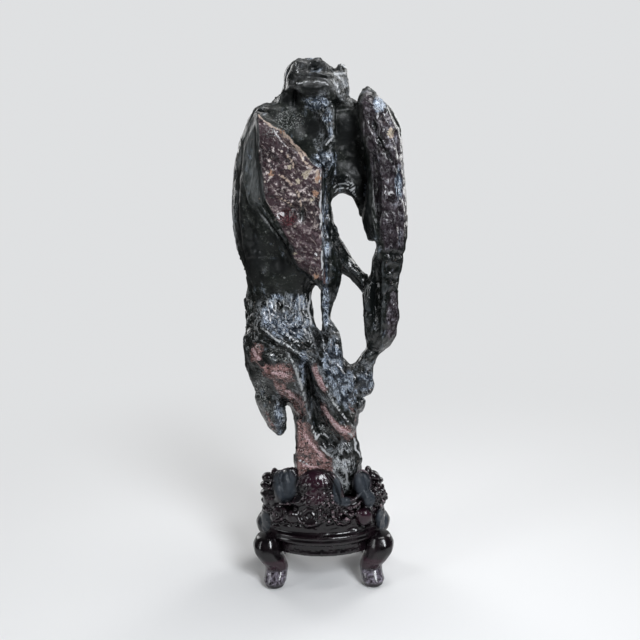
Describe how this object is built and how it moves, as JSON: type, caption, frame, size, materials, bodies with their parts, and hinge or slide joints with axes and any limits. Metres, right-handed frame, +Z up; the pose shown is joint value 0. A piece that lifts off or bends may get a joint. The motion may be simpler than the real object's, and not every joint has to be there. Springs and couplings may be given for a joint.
{
  "type": "scholars rock on carved stand",
  "caption": "Tall pierced dark stone with a flat purple facet, hollows and flowing ridges, standing in an oval carved wooden stand on cabriole feet.",
  "frame": {"origin": "on the table, under the middle of the whole piece", "axes": "+Z up, +Y away from the front, +X to the viewer's right"},
  "size_m": [0.1726, 0.095, 0.5345],
  "materials": {
    "stone": "polished natural stone, near-black to olive, purple and salmon patches",
    "rosewood": "dark red-brown lacquered rosewood, glossy"
  },
  "bodies": {
    "root": {"rock": "stone", "stand": "rosewood", "foot_front_left": "rosewood", "foot_front_right": "rosewood", "foot_back_left": "rosewood", "foot_back_right": "rosewood"}
  },
  "joints": []
}
